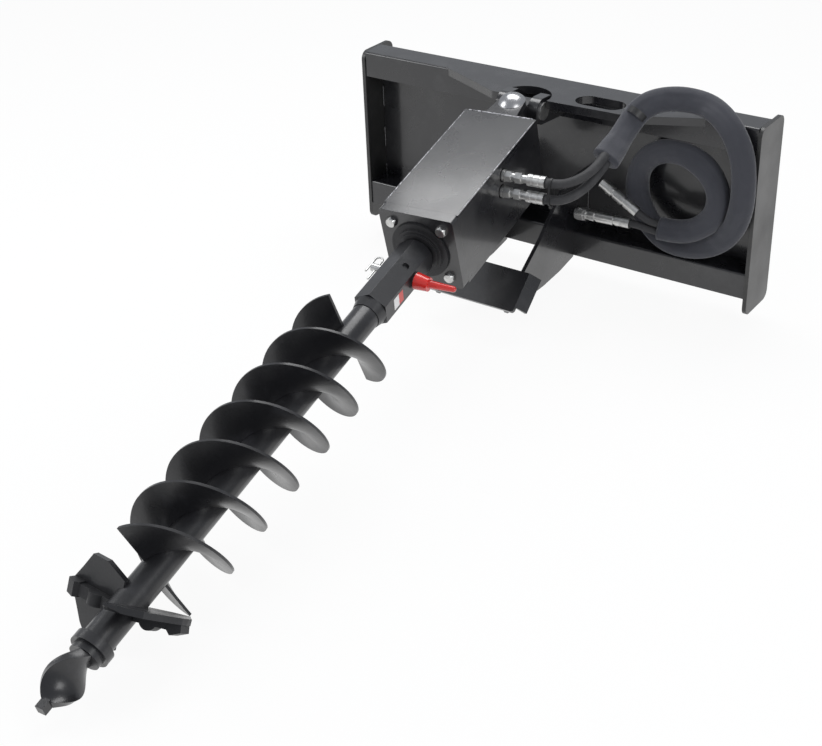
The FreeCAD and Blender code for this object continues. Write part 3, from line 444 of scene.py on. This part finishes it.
# ---- cords ----
HOSE_PATHS = {
    "upper": [
        (0.20615, -0.43031, 0.13962), (0.23806, -0.42793, 0.14017), (0.262, -0.413, 0.146),
        (0.279, -0.391, 0.154), (0.288, -0.364, 0.163), (0.29122, -0.33599, 0.17277),
        (0.29, -0.30916, 0.18069),
    ],
    "lower": [
        (0.2073, -0.43697, 0.10214), (0.2392, -0.43458, 0.1027), (0.265, -0.416, 0.112),
        (0.28, -0.391, 0.124), (0.288, -0.361, 0.137), (0.29122, -0.32967, 0.15138),
        (0.29, -0.30284, 0.15931),
    ],
}
SLEEVE_PATH = [
    (0.29, -0.306, 0.17), (0.288, -0.262, 0.183), (0.286, -0.221, 0.198), (0.29, -0.187, 0.222),
    (0.302, -0.16, 0.248), (0.328, -0.127, 0.262), (0.366, -0.095, 0.262), (0.414, -0.078, 0.256),
    (0.466, -0.096, 0.248), (0.511, -0.11, 0.216), (0.538, -0.108, 0.162), (0.548, -0.108, 0.098),
    (0.548, -0.107, 0.03), (0.528, -0.1, -0.04), (0.474, -0.09, -0.094), (0.405, -0.08, -0.119),
    (0.34, -0.07, -0.118), (0.287, -0.06, -0.086), (0.252, -0.055, -0.03), (0.25, -0.06, 0.035),
    (0.281, -0.072, 0.092), (0.335, -0.084, 0.125), (0.4, -0.092, 0.127), (0.455, -0.096, 0.1),
    (0.488, -0.1, 0.048), (0.482, -0.104, -0.01), (0.44, -0.107, -0.052), (0.388, -0.108, -0.071),
    (0.34, -0.108, -0.071),
]
TAIL_PATHS = {
    "upper": [
        (0.34, -0.108, -0.0607), (0.32, -0.108, -0.0607), (0.2983, -0.11, -0.0522), (0.28, -0.11, -0.042),
    ],
    "lower": [
        (0.34, -0.108, -0.0813), (0.315, -0.108, -0.0813), (0.289, -0.11, -0.0751), (0.262, -0.11, -0.076),
    ],
}
TOWARDS_VIEWER = Vector((0.43, -0.82, 0.38)).normalized()
HOSE_RADIUS = 0.011
TAIL_RADIUS = 0.0095
SLEEVE_HALF_WIDE = 0.029
SLEEVE_HALF_THICK = 0.0165
SLEEVE_LENGTH = 1.62
MOUTH_SHARE = 0.045                  # the share of the sleeve's length over which its mouth flares
WAIST_DEPTH = 0.16                   # how far the cloth sinks between the two hoses


def round_section(radius):
    return lambda share, angle: (radius * math.cos(angle), radius * math.sin(angle))


def make_hose(end, path):
    line = spline_line(path)
    tube = sweep("drive_hose_" + end, line, Vector((0.2, -0.3, 1.0)), round_section(HOSE_RADIUS), HOSE)
    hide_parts("hose_" + end)
    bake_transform(tube)


for hose_end, hose_path in HOSE_PATHS.items():
    make_hose(hose_end, hose_path)


def sleeve_section(share, angle):
    """A flattened tube with the two hoses' swell in it, wider at its mouth."""
    mouth = max(0.0, 1.0 - share / MOUTH_SHARE)
    wide = SLEEVE_HALF_WIDE * (1.0 + 0.16 * mouth)
    thick = SLEEVE_HALF_THICK * (1.0 + 0.10 * mouth)
    run = share * SLEEVE_LENGTH
    fold = math.sin(run * 95.0 + 2.0 * math.sin(angle))
    crease = 0.05 * fold * noise.noise(Vector((run * 22.0, 0.0, 3.0)))
    waist = 1.0 - WAIST_DEPTH * (math.cos(angle) ** 2 < 0.12)
    across = wide * math.cos(angle) * (1.0 + 0.05 * noise.noise(Vector((run * 14.0, 1.0, 0.0))))
    out = thick * math.sin(angle) * (waist * 0.5 + 0.5)
    out += thick * crease * 2.0 + 0.0018 * noise.noise(Vector((run * 30.0, math.cos(angle) * 1.5, 7.0)))
    return across, out


SLEEVE_LINE = spline_line(SLEEVE_PATH, 12)
sleeve = sweep("hose_cover", SLEEVE_LINE, TOWARDS_VIEWER, sleeve_section, SLEEVE_CLOTH, around=40)
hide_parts("hose_sleeve")
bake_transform(sleeve)


def make_tail(end, path):
    line = spline_line(path)
    tube = sweep("tail_hose_" + end, line, Vector((0.0, -1.0, 0.2)), round_section(TAIL_RADIUS), HOSE)
    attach(tube, "frame")
    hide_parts("hose_tail_" + end)
    return tube


tails = [make_tail(end, path) for end, path in TAIL_PATHS.items()]

# ---- welds and label ----
PLATE_FRONT = -0.0095                # where the frame's beads lie, just before the main plate
STITCH_STARTS = (-0.185, -0.075, 0.045)
STITCH_LENGTH = 0.062
STITCH_X = 0.5595
ARM_WELD_LOW, ARM_WELD_HIGH = -0.17, -0.05
ARM_WELD_OUT = 0.0005


def add_welds():
    """Beads where the plates meet, on the frame, the housing and the cradle's arms; the housing's beads are
    silver, a painted highlight along its top and rear edges.
    """
    for side in (-1, 1):
        for k, low in enumerate(STITCH_STARTS):
            x = side * STITCH_X
            ends = [Vector((x, PLATE_FRONT, low)), Vector((x, PLATE_FRONT, low + STITCH_LENGTH))]
            weld_bead("frame_stitch_%d_%d" % (side + 1, k), ends, "frame", 3.2)
        # the housing's top seams in silver: a painted highlight along its top edges
        x = side * HOUSING_EDGE
        ends = [on_drive(x, HOUSING_TOP, SEAM_START), on_drive(x, HOUSING_TOP, SEAM_END)]
        weld_bead("housing_seam_highlight_%d" % (side + 1), ends, "drive", 1.3, WELD_AND_EDGE_HIGHLIGHT)
    # the bead across the housing's rear in silver: a painted highlight on that edge
    ends = [on_drive(-REAR_HALF, REAR_TOP, 0.5), on_drive(REAR_HALF, REAR_TOP, 0.5)]
    weld_bead("housing_rear_weld_highlight", ends, "drive", 2.6, WELD_AND_EDGE_HIGHLIGHT, ripple=4.0)
    for name in ("cradle_arm_left", "cradle_arm_right"):
        low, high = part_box(name)
        for k, x in enumerate((low[0] - ARM_WELD_OUT, high[0] + ARM_WELD_OUT)):
            ends = [Vector((x, PLATE_FRONT, ARM_WELD_LOW)), Vector((x, PLATE_FRONT, ARM_WELD_HIGH))]
            weld_bead("%s_weld_%d" % (name, k), ends, "frame", 3.0)


def add_label():
    """A blank sticker, red above white, on the collar's facet beside the pin."""
    out = radial(LABEL_ANGLE)
    across = FORWARD.cross(out).normalized()
    middle = AXIS_START + out * (COLLAR_FACE / MM)
    for name, near, far, material in (("red", 576, 594, LABEL_RED), ("white", 594, 615, LABEL_WHITE)):
        corners = []
        for along, over in ((near, -LABEL_HALF), (near, LABEL_HALF), (far, LABEL_HALF), (far, -LABEL_HALF)):
            corners.append(middle + FORWARD * (along / MM) + across * (over / MM))
        sticker = make_object("label_" + name, corners, [(0, 1, 2, 3)], material, smooth=False)
        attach(sticker, "auger")


add_welds()
add_label()

# ---- stage ----
FLOOR_HALF = 12
FLOOR_GAP = 0.004                    # below the part's lowest point
FLOOR_GLOW = 0.93                    # how much plain white the camera sees; the rest keeps the shadow


def make_stage():
    height = CAD_BOX[0][2] - FLOOR_GAP
    half = FLOOR_HALF
    corners = [(-half, -half, height), (half, -half, height), (half, half, height), (-half, half, height)]
    material, nodes, links = new_material("pale_floor")
    plain = nodes["Principled BSDF"]
    plain.inputs["Base Color"].default_value = (0.86, 0.86, 0.86, 1.0)
    plain.inputs["Roughness"].default_value = 0.9
    plain.inputs["Specular IOR Level"].default_value = 0.1
    white = add(nodes, "ShaderNodeEmission")
    white.inputs["Color"].default_value = (1.0, 1.0, 1.0, 1.0)
    paths = add(nodes, "ShaderNodeLightPath")
    seen = add(nodes, "ShaderNodeMath", operation="MAXIMUM")
    links.new(paths.outputs["Is Camera Ray"], seen.inputs[0])
    links.new(paths.outputs["Is Glossy Ray"], seen.inputs[1])
    share = add(nodes, "ShaderNodeMath", operation="MULTIPLY")
    share.inputs[1].default_value = FLOOR_GLOW
    links.new(seen.outputs["Value"], share.inputs[0])
    mix = add(nodes, "ShaderNodeMixShader")
    links.new(share.outputs["Value"], mix.inputs["Fac"])
    links.new(plain.outputs["BSDF"], mix.inputs[1])
    links.new(white.outputs["Emission"], mix.inputs[2])
    links.new(mix.outputs["Shader"], nodes["Material Output"].inputs["Surface"])
    make_object("floor", corners, [(0, 1, 2, 3)], material, smooth=False)


def make_world():
    world = bpy.data.worlds.new("studio")
    bpy.context.scene.world = world
    world.use_nodes = True
    nodes, links = world.node_tree.nodes, world.node_tree.links
    soft = nodes["Background"]
    soft.inputs["Color"].default_value = (0.80, 0.83, 0.88, 1.0)
    soft.inputs["Strength"].default_value = 0.55
    white = add(nodes, "ShaderNodeBackground")
    white.inputs["Color"].default_value = (1.0, 1.0, 1.0, 1.0)
    paths = add(nodes, "ShaderNodeLightPath")
    mix = add(nodes, "ShaderNodeMixShader")
    links.new(paths.outputs["Is Camera Ray"], mix.inputs["Fac"])
    links.new(soft.outputs["Background"], mix.inputs[1])
    links.new(white.outputs["Background"], mix.inputs[2])
    links.new(mix.outputs["Shader"], nodes["World Output"].inputs["Surface"])


def make_lamp(name, place, target, width, height, power):
    data = bpy.data.lights.new(name, "AREA")
    data.shape = "RECTANGLE"
    data.size, data.size_y = width, height
    data.energy = power
    lamp = bpy.data.objects.new(name, data)
    bpy.context.scene.collection.objects.link(lamp)
    lamp.location = place
    aim = Vector(target) - Vector(place)
    lamp.rotation_mode = "QUATERNION"
    lamp.rotation_quaternion = aim.to_track_quat("-Z", "Y")


make_stage()
make_world()
make_lamp("overhead", (-0.4, 0.6, 2.6), (0.0, -0.7, 0.0), 2.4, 1.6, 60.0)
make_lamp("left_window", (-2.6, -2.2, 1.8), (0.0, -0.8, 0.0), 1.6, 1.6, 38.0)
make_lamp("right_fill", (2.4, -1.6, 1.5), (0.1, -0.6, 0.0), 1.2, 1.2, 22.0)
bpy.context.scene.view_settings.view_transform = "Standard"
